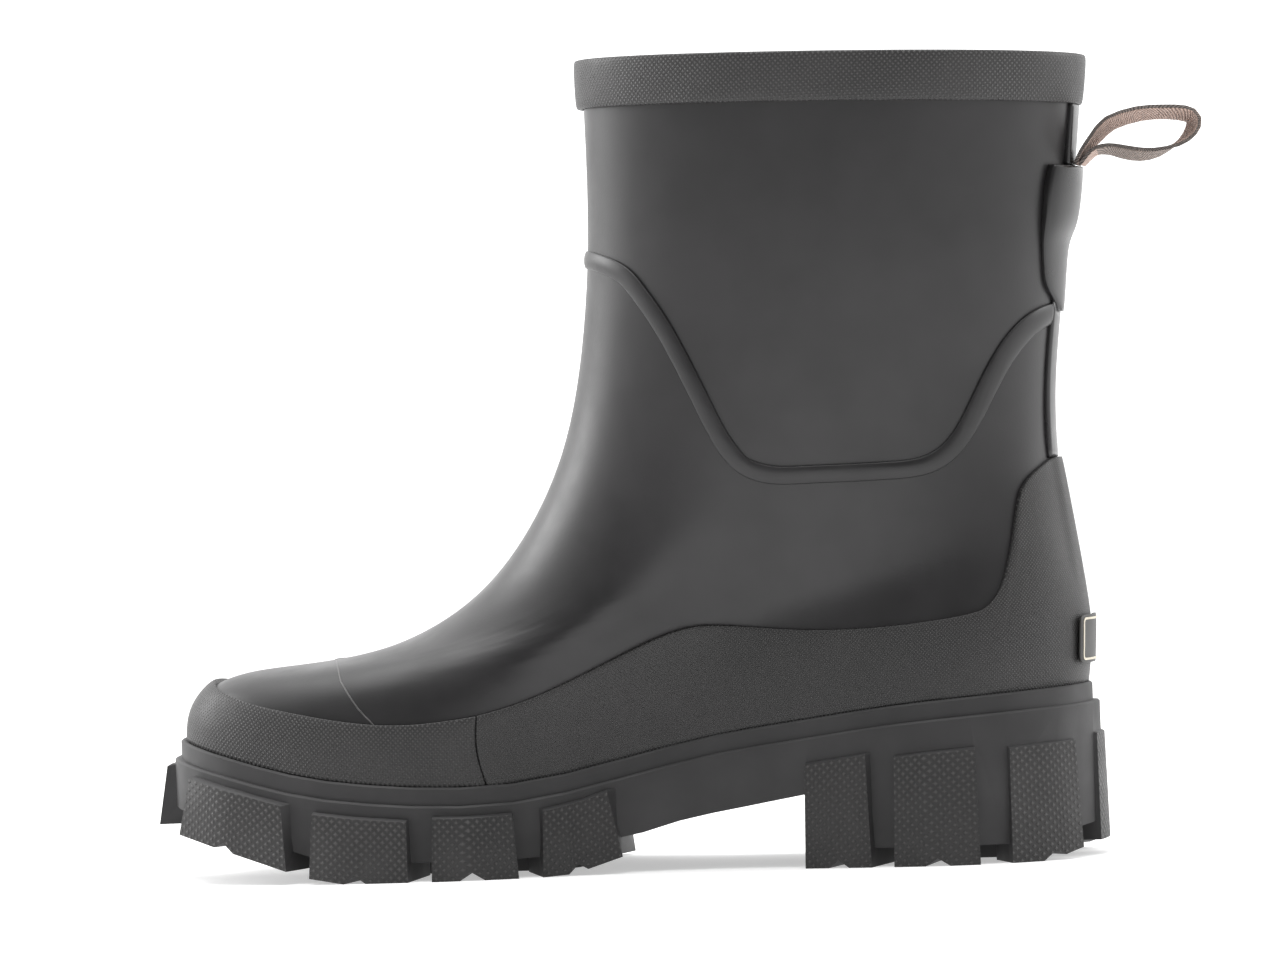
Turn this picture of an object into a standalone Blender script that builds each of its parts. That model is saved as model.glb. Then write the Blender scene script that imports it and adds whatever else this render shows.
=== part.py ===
"""Short rubber boot for the right foot: lugged outsole, hollow upper and the strips bonded to it.

Metres. +Z is up, the toe points along -X, and the inner side of the foot faces -Y.
The origin is on the floor, under the middle of the heel.
"""
import math
from collections import namedtuple

import bmesh
import bpy
from mathutils import Vector

# Driving sizes
FOOT_LENGTH = 0.273      # the upper's outline where it meets the sole, heel to toe
BALL_WIDTH = 0.094       # the same outline across the ball
HEEL_BACK = 0.038        # how far the outline's back is behind the origin, along X
TOE_TURN = 0.006         # how far the tip of the toe lies inwards of the centre line
TURN_FROM = 0.5          # where the centre line starts to turn, a share of the foot
COLLAR_FRONT = 0.2414    # height of the top edge at the front
COLLAR_BACK = 0.2365     # and at the back
COLLAR_WIDTH = 1.021 * BALL_WIDTH      # width of the shaft at the top edge
SOLE_TOP = 0.051         # top of the sole at the back of the heel
TREAD = 0.0055           # depth of the tread below the sole's base
TOE_SPRING = 0.0172      # how far the tread lifts at the tip of the toe
WALL = 0.002             # rubber wall of the upper
GAP = 0.0003             # clearance between bonded pieces
SEAT = 0.00045           # the same for rands and tape, whose flats differ from the upper's

# Bonded strips
RAND = 0.0012            # thickness of the toe and heel rands
COUNTER_RISE = 0.067     # height of the counter at the back, above the sole
RAND_JOINT = 0.637       # where the two rands meet at the sole, a share of the foot
JOINT_LEAN = 0.028       # how far the joint leans to the toe, radians for each ring of the last
RIDGE = 0.0009           # how far the counter stands out over the middle of the back
RIDGE_FROM = 0.5         # above this share of its height
BAND_HEIGHT = 0.0146     # collar band
BAND = 0.0021
TAPE_WIDTH = 0.0052      # seam tape
TAPE = 0.0009
STRIP_WIDTH = 0.014      # strip up the back
STRIP = 0.0010
TAB_WIDTH = 0.0354       # tab that holds the loop
TAB_TOP = 0.8626 * COLLAR_BACK
TAB_HEIGHT = 0.0428
TAB = 0.0040
TAB_CROWN = 0.25         # how much thinner the tab gets to its sides
TAB_EDGE = 0.45          # its thickness at the very edge, a share of the full one
STRIP_EDGE = 0.5         # the same for the strip
BADGE_WIDTH = 0.026
BADGE_HEIGHT = 0.0135
BADGE_LIFT = 0.0060      # from the sole's top edge to the badge
BADGE = 0.0007
BADGE_ROUND = 0.002      # radius of its corners
BADGE_SEAT = SEAT + RAND + 1.5 * GAP   # clear of the flats of the curved counter

# Pull loop
LOOP_WIDTH = 0.010
LOOP_THICK = 0.0011
LOOP_REACH = 0.036
LOOP_RISE = 0.0145

# Sole
WELT_OUT = 0.0028        # the welt stands this far outside the upper's outline
WELT_HEIGHT = 0.0054
WALL_OUT = 0.0048        # the sole's side, below the welt
EDGE = 0.0006            # small rounding of the moulded edges
LUG_DEPTH = 0.234 * BALL_WIDTH         # how far the side blocks run in under the sole
END_LUG_HALF = 0.120 * BALL_WIDTH      # half the width of the blocks at the two ends
LUG_OUT = 0.0103         # outermost reach of the forefoot blocks at the floor
LUG_GROOVE = 0.0023      # depth of the V groove across each block
GROOVE_HALF = 0.0032     # half of its width
END_LUG_LEAN = 0.0010    # how much the ends of the two end blocks lean in towards their top
INSOLE = 0.003

# How finely curved pieces are divided
UPPER_SIDES = 52
ROW_STEPS = 2            # rows of the upper for each ring of the last
SOLE_SIDES = 56
HEEL_TURN = 38           # degrees either side of the back, where the heel rand is divided finer
HEEL_PARTS = 3           # by this much
CLEAR_STEP = 0.25        # least share of a step between a strip's end and its next section
TAPE_SECTIONS = 63
END_LUG_SECTIONS = 5
CENTRE_LUG_SECTIONS = 4
ARCH_SECTIONS = 9
LOOP_PARTS = 2           # sections of the loop for each row of its table
SHARP = 35               # degrees, above which an edge stays sharp

# Rows and columns of the strips, as shares of their height or of half their width
RAND_ROWS = (0, 0.25, 0.5, 0.75, 0.96, 1)
STRIP_COLUMNS = (-1, -0.9, -0.38, 0.38, 0.9, 1)
STRIP_ROWS = 6
STRIP_TOP_ROWS = 4
TAB_COLUMNS = (-1, -0.85, -0.45, 0, 0.45, 0.85, 1)
BADGE_COLUMNS = (-1, -0.5, 0, 0.5, 1)
BADGE_CORNER = (0, 0.3, 1)

# Small steps over which slopes and directions are measured, and how often a search halves its range
ANGLE_STEP = 0.004
LEVEL_STEP = 0.01
ALONG_STEP = 0.002
HALVINGS = 26

Station = namedtuple("Station", "along inner outer")
# along: from the heel, a share of the foot's length. inner, outer: half widths, shares of the ball's
FOOT_OUTLINE = [
    Station(0.00, 0.356, 0.356),
    Station(0.16, 0.362, 0.362),
    Station(0.30, 0.314, 0.340),
    Station(0.42, 0.293, 0.367),
    Station(0.54, 0.362, 0.426),
    Station(0.66, 0.473, 0.495),
    Station(0.76, 0.500, 0.495),
    Station(0.88, 0.510, 0.457),
    Station(1.00, 0.510, 0.430),
]
HEEL_ROUND = 0.16        # the heel's rounding starts here, a share of the foot
TOE_ROUND = 0.62
HEEL_POWER = 2.2
TOE_POWER = 2.3
SHAFT_POWER = 2.1

Joint = namedtuple("Joint", "along height")
# height: the line where upper and sole meet, a share of its height at the heel
SOLE_LINE = [
    Joint(0.00, 1.000),
    Joint(0.18, 0.927),
    Joint(0.29, 0.853),
    Joint(0.40, 0.769),
    Joint(0.51, 0.641),
    Joint(0.585, 0.557),
    Joint(0.65, 0.533),
    Joint(0.72, 0.543),
    Joint(0.83, 0.608),
    Joint(0.94, 0.753),
    Joint(1.00, 0.843),
]

Ring = namedtuple("Ring", "level front back rise_front rise_back foot shaft width sag")
# front, back: shares of the foot from the heel. rise: shares of the way from sole to collar.
# foot: the outline's width there. shaft: how far the ring has become the shaft's oval, which is
# width times the collar's. sag: how much of the sole line's dip the ring still follows.
LAST = [
    Ring(0, 0.9970, 0.0045, 0.000, 0.000, 1.000, 0.00, 0.92, 1.00),
    Ring(1, 0.9930, -0.001, 0.039, 0.043, 1.010, 0.00, 0.92, 0.93),
    Ring(2, 0.9710, -0.003, 0.076, 0.090, 1.000, 0.03, 0.92, 0.80),
    Ring(3, 0.9280, 0.0000, 0.095, 0.128, 0.965, 0.08, 0.92, 0.62),
    Ring(4, 0.8640, 0.0060, 0.103, 0.169, 0.910, 0.18, 0.90, 0.40),
    Ring(5, 0.7670, 0.0130, 0.125, 0.224, 0.850, 0.35, 0.87, 0.18),
    Ring(6, 0.6730, 0.0210, 0.194, 0.298, 0.830, 0.58, 0.84, 0.05),
    Ring(7, 0.6020, 0.0275, 0.313, 0.383, 0.830, 0.80, 0.84, 0.00),
    Ring(8, 0.5550, 0.0250, 0.472, 0.511, 0.830, 0.95, 0.88, 0.00),
    Ring(9, 0.5310, 0.0040, 0.720, 0.738, 0.830, 1.00, 0.96, 0.00),
    Ring(10, 0.532, -0.017, 1.000, 1.000, 0.830, 1.00, 1.00, 0.00),
]
TOP_LEVEL = LAST[-1].level

Edge = namedtuple("Edge", "along rise")
# rise: the rands' top edge above the sole, a share of the counter's height
RAND_EDGE = [
    Edge(0.000, 1.000),
    Edge(0.027, 1.000),
    Edge(0.035, 0.973),
    Edge(0.048, 0.920),
    Edge(0.055, 0.872),
    Edge(0.060, 0.800),
    Edge(0.065, 0.613),
    Edge(0.068, 0.546),
    Edge(0.073, 0.474),
    Edge(0.081, 0.410),
    Edge(0.090, 0.373),
    Edge(0.103, 0.356),
    Edge(0.125, 0.343),
    Edge(0.200, 0.339),
    Edge(0.252, 0.360),
    Edge(0.316, 0.406),
    Edge(0.376, 0.471),
    Edge(0.424, 0.511),
    Edge(0.444, 0.520),
    Edge(0.473, 0.493),
    Edge(0.494, 0.456),
    Edge(0.536, 0.396),
    Edge(0.594, 0.340),
    Edge(0.646, 0.305),
    Edge(0.693, 0.273),
    Edge(0.740, 0.256),
    Edge(0.800, 0.260),
    Edge(0.846, 0.262),
    Edge(0.920, 0.250),
    Edge(0.975, 0.277),
    Edge(1.000, 0.285),
]

Tape = namedtuple("Tape", "along height")
# height: the middle of the seam tape, a share of the collar's height above the same place
TAPE_LINE = [
    Tape(-0.02, 0.6840),
    Tape(0.012, 0.6815),
    Tape(0.038, 0.6640),
    Tape(0.065, 0.6255),
    Tape(0.090, 0.5710),
    Tape(0.115, 0.5180),
    Tape(0.145, 0.4920),
    Tape(0.200, 0.4860),
    Tape(0.275, 0.4840),
    Tape(0.325, 0.4850),
    Tape(0.358, 0.5120),
    Tape(0.395, 0.5970),
    Tape(0.425, 0.6635),
    Tape(0.450, 0.7040),
    Tape(0.470, 0.7310),
    Tape(0.500, 0.7470),
    Tape(0.531, 0.7545),
    Tape(0.560, 0.7560),
]
TapeRow = namedtuple("TapeRow", "across lift")
# across: a share of half the tape's width. lift: a share of its thickness
TAPE_PROFILE = [
    TapeRow(-1.00, 0.35),
    TapeRow(-0.45, 1.00),
    TapeRow(0.45, 1.00),
    TapeRow(1.00, 0.35),
]

Tab = namedtuple("Tab", "up half thick")
# up: from the tab's lowest point, a share of its height. half: half width, a share of the full
# one. thick: a share of its thickness
TAB_SHAPE = [
    Tab(0.000, 0.15, 0.50),
    Tab(0.100, 0.50, 0.46),
    Tab(0.168, 0.74, 0.44),
    Tab(0.300, 0.84, 0.38),
    Tab(0.475, 0.94, 0.34),
    Tab(0.560, 0.96, 0.70),
    Tab(0.650, 0.98, 0.93),
    Tab(0.820, 1.00, 1.00),
    Tab(0.950, 0.965, 0.98),
    Tab(1.000, 0.92, 0.93),
]

Lug = namedtuple("Lug", "start end drop top_out floor_out depth groove lean_start lean_end")
# start, end: stations along the side, shares of the foot. drop: from the sole line to the block's
# top, a share of the sole's height. top_out, floor_out: reach beyond the upper's outline, shares of
# the forefoot blocks' reach. depth: how far it runs in, a share of the deepest block's.
# groove: where the V groove crosses, a share of the block. lean: how far the end leans in
# towards its top, a share of the block's reach.
SIDE_LUGS = [
    Lug(0.018, 0.076, 0.302, 0.60, 0.74, 0.45, 0.46, 0.04, 0.06),
    Lug(0.105, 0.188, 0.285, 0.68, 0.84, 0.90, 0.50, 0.03, 0.06),
    Lug(0.212, 0.287, 0.250, 0.70, 0.86, 0.85, 0.50, 0.13, 0.03),
    Lug(0.499, 0.587, 0.165, 0.76, 0.98, 0.85, 0.55, 0.38, 0.10),
    Lug(0.612, 0.694, 0.163, 0.78, 1.02, 1.00, 0.53, 0.10, 0.04),
    Lug(0.718, 0.823, 0.184, 0.78, 1.02, 1.00, 0.52, 0.04, 0.05),
    Lug(0.848, 0.966, 0.158, 0.78, 1.00, 0.70, 0.50, 0.22, 0.30),
]
WAIST_LUG = SIDE_LUGS[3]
OUTER_WAIST = 0.550      # on the outer side, the block by the waist starts here
TOE_LUG = Lug(0, 0, 0.150, 0.72, 1.00, 0.45, 0, 0, 0)
BACK_LUG = Lug(0, 0, 0.280, 0.553, 0.61, 0.35, 0, 0, 0)

CentreLug = namedtuple("CentreLug", "start end half")
# half: half width under the middle of the sole, a share of the ball's width
CENTRE_LUGS = [
    CentreLug(0.075, 0.185, 0.095),
    CentreLug(0.215, 0.280, 0.095),
    CentreLug(0.545, 0.590, 0.130),
    CentreLug(0.612, 0.690, 0.170),
    CentreLug(0.722, 0.800, 0.180),
    CentreLug(0.832, 0.895, 0.120),
]

Arch = namedtuple("Arch", "along height")
# height: the underside of the waist, a share of the sole's height
ARCH_LINE = [
    Arch(0.290, 0.425),
    Arch(0.355, 0.365),
    Arch(0.430, 0.292),
    Arch(0.490, 0.200),
    Arch(0.545, 0.118),
    Arch(0.575, 0.050),
]

Tread = namedtuple("Tread", "along lift")
# lift: how far the tread is off the floor, a share of its lift at the toe
TREAD_LINE = [
    Tread(0.000, 0.290),
    Tread(0.018, 0.215),
    Tread(0.035, 0.095),
    Tread(0.052, 0.000),
    Tread(0.290, 0.000),
    Tread(0.450, 0.450),
    Tread(0.498, 0.300),
    Tread(0.540, 0.095),
    Tread(0.575, 0.000),
    Tread(0.790, 0.000),
    Tread(0.823, 0.110),
    Tread(0.847, 0.233),
    Tread(0.905, 0.550),
    Tread(0.970, 0.890),
    Tread(1.000, 1.000),
]

Fold = namedtuple("Fold", "out up tilt")
Run = namedtuple("Run", "index out up tilt")
# The loop's run. out: from the back of the tab, a share of the reach. up: above the tab's top,
# a share of the rise. tilt: degrees the webbing is rolled about its run.
LOOP_RUN = [
    Fold(0.000, 0.000, 0),
    Fold(0.057, 0.250, -3),
    Fold(0.163, 0.540, -11),
    Fold(0.290, 0.830, -17),
    Fold(0.526, 0.990, -18),
    Fold(0.743, 1.000, -18),
    Fold(0.915, 0.945, -22),
    Fold(0.980, 0.810, -28),
    Fold(0.951, 0.590, -24),
    Fold(0.849, 0.360, -10),
    Fold(0.663, 0.186, 8),
    Fold(0.515, 0.166, 17),
    Fold(0.382, 0.228, 18),
    Fold(0.279, 0.290, 14),
    Fold(0.184, 0.285, 8),
    Fold(0.122, 0.205, 3),
    Fold(0.041, 0.000, 0),
]


Finish = namedtuple("Finish", "name color roughness")
FINISHES = [
    Finish("sole_rubber", (0.055, 0.053, 0.053), 0.55),
    Finish("foot_bed", (0.08, 0.08, 0.085), 0.9),
    Finish("upper_rubber", (0.065, 0.063, 0.064), 0.38),
    Finish("rand_rubber", (0.06, 0.058, 0.058), 0.6),
    Finish("tape_rubber", (0.065, 0.063, 0.064), 0.4),
    Finish("band_rubber", (0.075, 0.073, 0.073), 0.6),
    Finish("strip_rubber", (0.065, 0.063, 0.064), 0.35),
    Finish("tab_rubber", (0.065, 0.063, 0.064), 0.4),
    Finish("webbing", (0.28, 0.19, 0.15), 0.85),
    Finish("badge_rubber", (0.03, 0.03, 0.03), 0.45),
    Finish("guide", (0.5, 0.5, 0.5), 0.5),
]


def smooth(rows, key, value, column):
    """Read a column of a table between its rows, as a smooth curve."""
    keys = [getattr(row, key) for row in rows]
    data = [getattr(row, column) for row in rows]
    value = min(max(value, keys[0]), keys[-1])
    i = 0
    while i < len(keys) - 2 and value > keys[i + 1]:
        i += 1
    slopes = []
    for j in (i, i + 1):
        low, high = max(j - 1, 0), min(j + 1, len(keys) - 1)
        slopes.append((data[high] - data[low]) / (keys[high] - keys[low]))
    span = keys[i + 1] - keys[i]
    t = (value - keys[i]) / span
    rest = 1 - t
    return (data[i] * (1 + 2 * t) * rest ** 2 + slopes[0] * span * t * rest ** 2
            + data[i + 1] * (1 + 2 * rest) * t ** 2 - slopes[1] * span * rest * t ** 2)


def station(x):
    """Share of the foot's length from the heel, at a place along X."""
    return min(max((HEEL_BACK - x) / FOOT_LENGTH, 0), 1)


def sole_line(x):
    """Height of the line where upper and sole meet."""
    return SOLE_TOP * smooth(SOLE_LINE, "along", station(x), "height")


def tread_lift(x):
    """How far the tread is off the floor, at the toe, the waist and the back of the heel."""
    return TOE_SPRING * max(0, smooth(TREAD_LINE, "along", station(x), "lift"))


def underside(x):
    """Height of the sole's base, above which the tread blocks start."""
    arch = SOLE_TOP * smooth(ARCH_LINE, "along", station(x), "height")
    in_waist = ARCH_LINE[0].along < station(x) < ARCH_LINE[-1].along
    return max(TREAD + tread_lift(x), arch if in_waist else 0)


def foot_half(side, along):
    """Half width of the foot's outline, on the inner (-1) or outer (+1) side."""
    along = min(max(along, 0), 1)
    if along < HEEL_ROUND:
        u, power = 1 - along / HEEL_ROUND, HEEL_POWER
    elif along > TOE_ROUND:
        u, power = (along - TOE_ROUND) / (1 - TOE_ROUND), TOE_POWER
    else:
        u, power = 0, 2
    column = "inner" if side < 0 else "outer"
    rounding = max(1 - u ** power, 0) ** (1 / power)
    return BALL_WIDTH * smooth(FOOT_OUTLINE, "along", along, column) * rounding


def foot_centre(along):
    """The middle line of the foot, which turns inwards to the toe."""
    return -TOE_TURN * (max(0, along - TURN_FROM) / (1 - TURN_FROM)) ** 2


def outline(angle, out):
    """A point of the foot's outline moved outwards. Angle 0 is the toe, pi the heel."""
    run = ring_point(0, angle + ANGLE_STEP) - ring_point(0, angle - ANGLE_STEP)
    normal = Vector((run.y, -run.x, 0)).normalized()
    return ring_point(0, angle) + normal * out


def outline_run(angle):
    """How far the outline runs for each radian, as a vector."""
    return (outline(angle + ANGLE_STEP, 0) - outline(angle - ANGLE_STEP, 0)) / (2 * ANGLE_STEP)


def side_angle(side, along):
    """The angle at which the outline of one side passes a station."""
    angle = math.acos(min(max(2 * along - 1, -1), 1))
    return angle if side < 0 else 2 * math.pi - angle


def ring_point(level, angle):
    """A point of the last's surface: level 0 at the sole, angle 0 at the front, inner side first."""
    front, back, up_front, up_back, foot, shaft, width, sag = (
        smooth(LAST, "level", level, column)
        for column in ("front", "back", "rise_front", "rise_back", "foot", "shaft", "width", "sag"))
    along = (1 + math.cos(angle)) / 2
    share = back + (front - back) * along
    x = HEEL_BACK - FOOT_LENGTH * share
    side = -1 if math.sin(angle) > 0 else 1
    oval = max(1 - abs(2 * along - 1) ** SHAFT_POWER, 0) ** (1 / SHAFT_POWER)
    half = (1 - shaft) * foot_half(side, along) * foot + shaft * COLLAR_WIDTH / 2 * width * oval
    y = (1 - shaft) * foot_centre(share) + side * half
    heel_z, toe_z = SOLE_TOP * SOLE_LINE[0].height, SOLE_TOP * SOLE_LINE[-1].height
    z_front = toe_z + up_front * (COLLAR_FRONT - toe_z)
    z_back = heel_z + up_back * (COLLAR_BACK - heel_z)
    ends = [sole_line(HEEL_BACK - FOOT_LENGTH * end) for end in (back, front)]
    dip = sole_line(x) - (ends[0] + (ends[1] - ends[0]) * along)
    return Vector((x, y, z_back + (z_front - z_back) * along + sag * dip + GAP))


def upper_point(level, angle, out):
    """A point of the upper's surface moved outwards, level with the rim at sole and collar."""
    low, high = max(level - LEVEL_STEP, 0), min(level + LEVEL_STEP, TOP_LEVEL)
    around = ring_point(level, angle + LEVEL_STEP) - ring_point(level, angle - LEVEL_STEP)
    normal = around.cross(ring_point(high, angle) - ring_point(low, angle))
    if level <= 0 or level >= TOP_LEVEL:
        normal.z = 0
    return ring_point(level, angle) + normal.normalized() * out


def level_at(angle, height):
    """The level at which the surface reaches a height, given as a function of X."""
    low, high = 0.0, float(TOP_LEVEL)
    for _ in range(HALVINGS):
        middle = (low + high) / 2
        point = ring_point(middle, angle)
        if point.z < height(point.x):
            low = middle
        else:
            high = middle
    return (low + high) / 2


def back_angle(level, y):
    """The angle near the back at which a level reaches a place across the boot."""
    low, high = math.pi / 2, 3 * math.pi / 2
    for _ in range(HALVINGS):
        middle = (low + high) / 2
        if ring_point(level, middle).y < y:
            low = middle
        else:
            high = middle
    return (low + high) / 2


def spread(start, end, count):
    """Evenly spaced values from start to end, both included."""
    return [start + (end - start) * i / (count - 1) for i in range(count)]


def material(name, color, roughness):
    """A plain surface of one colour."""
    made = bpy.data.materials.new(name)
    made.use_nodes = True
    shader = made.node_tree.nodes["Principled BSDF"]
    shader.inputs["Base Color"].default_value = (*color, 1)
    shader.inputs["Roughness"].default_value = roughness
    made.diffuse_color = (*color, 1)
    return made


def finish(name):
    """The material of a row in the table of finishes."""
    row = next(row for row in FINISHES if row.name == name)
    return material(row.name, row.color, row.roughness)


def add_object(name, points, faces, surface, collection):
    """An object from points and faces, with its faces turned outwards."""
    mesh = bpy.data.meshes.new(name)
    mesh.from_pydata([tuple(p) for p in points], [], faces)
    work = bmesh.new()
    work.from_mesh(mesh)
    bmesh.ops.recalc_face_normals(work, faces=work.faces)
    work.to_mesh(mesh)
    work.free()
    made = bpy.data.objects.new(name, mesh)
    mesh.materials.append(surface)
    mesh.shade_smooth()
    mesh.set_sharp_from_angle(angle=math.radians(SHARP))
    collection.objects.link(made)
    return made


def ladder(left, right):
    """Quads between two rows of point numbers."""
    return [(left[i], left[i + 1], right[i + 1], right[i]) for i in range(len(left) - 1)]


def sweep(sections, closed):
    """Points and faces of a solid through like sections, each an outer row, then an inner one back."""
    count = len(sections[0])
    points = [point for section in sections for point in section]
    numbers = [[k * count + i for i in range(count)] for k in range(len(sections))]
    faces = []
    pairs = list(zip(numbers, numbers[1:]))
    if closed:
        pairs.append((numbers[-1], numbers[0]))
    for one, two in pairs:
        faces += ladder(one + one[:1], two + two[:1])
    if not closed:
        half = count // 2
        for end in (numbers[0], numbers[-1]):
            faces += ladder(end[:half], end[:half - 1:-1])
    return points, faces


def stack(rings):
    """Points and faces of a solid through rings, capped by quads from side to side."""
    count = len(rings[0])
    points = [point for ring in rings for point in ring]
    numbers = [[k * count + i for i in range(count)] for k in range(len(rings))]
    faces = []
    for one, two in zip(numbers, numbers[1:]):
        faces += ladder(one + one[:1], two + two[:1])
    half = count // 2
    for end in (numbers[0], numbers[-1]):
        left, right = end[1:half], end[:half:-1]
        faces += ladder(left, right)
        faces += [(end[0], left[0], right[0]), (left[-1], end[half], right[-1])]
    return points, faces


def upper_angles(start, end, parts):
    """The upper's own angles, each step cut in parts, between two angles that are included."""
    step = 2 * math.pi / UPPER_SIDES / parts
    first, last = math.ceil(start / step + CLEAR_STEP), math.floor(end / step - CLEAR_STEP)
    return [start] + [step * i for i in range(first, last + 1)] + [end]


def shell_section(angle, levels, outer, inner, lean=0):
    """A section of a strip on the upper: outer row upwards, inner row back down."""
    up = [upper_point(level, angle + lean * level, out) for level, out in zip(levels, outer)]
    down = [upper_point(level, angle + lean * level, out) for level, out in zip(levels, inner)]
    return up + down[::-1]


def build_upper(surface, collection):
    """Vamp and shaft as one hollow wall, open at the collar and underneath."""
    levels = spread(0, TOP_LEVEL, TOP_LEVEL * ROW_STEPS + 1)
    sections = []
    for i in range(UPPER_SIDES):
        angle = 2 * math.pi * i / UPPER_SIDES
        sections.append(shell_section(angle, levels, [0] * len(levels), [-WALL] * len(levels)))
    return add_object("upper", *sweep(sections, True), surface, collection)


def build_insole(surface, collection):
    """The foot bed, inside the upper and on the sole."""
    clearance = WALL + 2 * GAP
    rings = [[], [], []]
    for angle in (2 * math.pi * i / UPPER_SIDES for i in range(UPPER_SIDES)):
        base = outline(angle, -clearance)
        reach = math.hypot(base.x, base.y)
        rings[0].append(base)
        for ring, lift, inset in ((rings[1], INSOLE - EDGE, EDGE), (rings[2], INSOLE, 2 * EDGE)):
            level = level_at(angle, lambda x: rand_base(x) + lift)
            wall = upper_point(level, angle, -clearance)
            scale = (min(reach, math.hypot(wall.x, wall.y)) - inset) / reach
            ring.append(Vector((base.x * scale, base.y * scale, base.z + lift)))
    return add_object("insole", *stack(rings), surface, collection)


def rand_base(x):
    """Height of the rands' lower edge."""
    return sole_line(x) + GAP


def rand_height(x):
    """Height of the rands' top edge."""
    return rand_base(x) + COUNTER_RISE * smooth(RAND_EDGE, "along", station(x), "rise")


def rand_section(angle, lean):
    """A section of the rands, with the counter's ridge up the back."""
    top = level_at(angle, rand_height)
    top = level_at(angle + lean * top, rand_height)
    full = SEAT + RAND
    on_ridge = math.cos(angle) < 0 and abs(ring_point(top, angle).y) < STRIP_WIDTH / 2
    outer = [full + (RIDGE if on_ridge and share > RIDGE_FROM else 0) for share in RAND_ROWS]
    outer[-1] -= EDGE / 2
    levels = [top * share for share in RAND_ROWS]
    return shell_section(angle, levels, outer, [SEAT] * len(levels), lean)


def rand_sections(angles):
    """Sections over a run of angles, of which both ends lean towards the toe."""
    leans = [0] * len(angles)
    leans[0] = leans[-1] = JOINT_LEAN
    return [rand_section(angle, -lean if math.sin(angle) > 0 else lean)
            for angle, lean in zip(angles, leans)]


def rand_angle(side, shift):
    """The angle of the joint between the rands, moved a little along the outline."""
    angle = side_angle(-1, RAND_JOINT)
    angle += shift / outline_run(angle).length
    return angle if side < 0 else 2 * math.pi - angle


def build_rands(surface, collection):
    """The textured strips round the toe, and round the heel up to the counter."""
    start = rand_angle(-1, -GAP / 2)
    toe = rand_sections(upper_angles(-start, start, 1))
    toe_rand = add_object("toe_rand", *sweep(toe, False), surface, collection)
    begin, finish = rand_angle(-1, GAP / 2), rand_angle(1, GAP / 2)
    near, far = math.pi - math.radians(HEEL_TURN), math.pi + math.radians(HEEL_TURN)
    angles = (upper_angles(begin, near, 1)[:-1] + upper_angles(near, far, HEEL_PARTS)
              + upper_angles(far, finish, 1)[1:])
    heel_rand = add_object("heel_rand", *sweep(rand_sections(angles), False), surface, collection)
    return toe_rand, heel_rand


def collar_height(along):
    """Height of the straight line from the collar's back to its front."""
    share = min(max(along / LAST[-1].front, 0), 1)
    return COLLAR_BACK + (COLLAR_FRONT - COLLAR_BACK) * share


def tape_height(x, across):
    """Height of a line along the seam tape, moved across it by a length."""
    along = (HEEL_BACK - x) / FOOT_LENGTH
    here, ahead = (smooth(TAPE_LINE, "along", at, "height") * collar_height(at)
                   for at in (along, along + ALONG_STEP))
    slope = (ahead - here) / (ALONG_STEP * FOOT_LENGTH)
    return here + across * math.sqrt(1 + slope ** 2)


def build_tape(surface, collection):
    """The rounded band from one side of the back strip, round the front, to the other."""
    level = level_at(math.pi, lambda x: tape_height(x, 0))
    reach = back_angle(level, STRIP_WIDTH / 2 + GAP) - 2 * math.pi
    outer = [SEAT + TAPE * row.lift for row in TAPE_PROFILE]
    sections = []
    for angle in spread(reach, -reach, TAPE_SECTIONS):
        levels = [level_at(angle, lambda x: tape_height(x, row.across * TAPE_WIDTH / 2))
                  for row in TAPE_PROFILE]
        sections.append(shell_section(angle, levels, outer, [SEAT] * len(levels)))
    return add_object("seam_tape", *sweep(sections, False), surface, collection)


def build_band(surface, collection):
    """The binding round the collar."""
    sections = []
    for i in range(UPPER_SIDES):
        angle = 2 * math.pi * i / UPPER_SIDES
        rim = ring_point(TOP_LEVEL, angle).z
        drops = (BAND_HEIGHT, BAND_HEIGHT - EDGE, EDGE, 0)
        levels = [level_at(angle, lambda x: rim - drop) for drop in drops[:-1]] + [TOP_LEVEL]
        full = GAP + BAND
        outer = [full - EDGE, full, full, full - EDGE]
        sections.append(shell_section(angle, levels, outer, [GAP] * len(levels)))
    return add_object("collar_band", *sweep(sections, True), surface, collection)


def back_patch(name, heights, half_width, columns, outer, inner, surface, collection, raised=None):
    """A patch on the back of the boot: rows at heights, columns as shares of its half width."""
    sections = []
    for height in heights:
        level = level_at(math.pi, lambda x: height)
        angles = [back_angle(level, half_width(height) * column) for column in columns]
        levels = [level] * len(columns)
        if raised and height == heights[-1]:
            levels = [level_at(math.pi, lambda x: height + raised(half_width(height) * column))
                      for column in columns]
        out = [upper_point(at, angle, outer(height, column))
               for at, angle, column in zip(levels, angles, columns)]
        back = [upper_point(at, angle, inner) for at, angle in zip(levels, angles)]
        sections.append(out + back[::-1])
    return add_object(name, *sweep(sections, False), surface, collection)


def tab_edge(y):
    """How far the tab's lower edge is above its lowest point, at a place across the boot."""
    low, high = TAB_SHAPE[:2]
    share = (abs(y) / (TAB_WIDTH / 2) - low.half) / (high.half - low.half)
    return TAB_HEIGHT * high.up * max(0, share)


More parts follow.
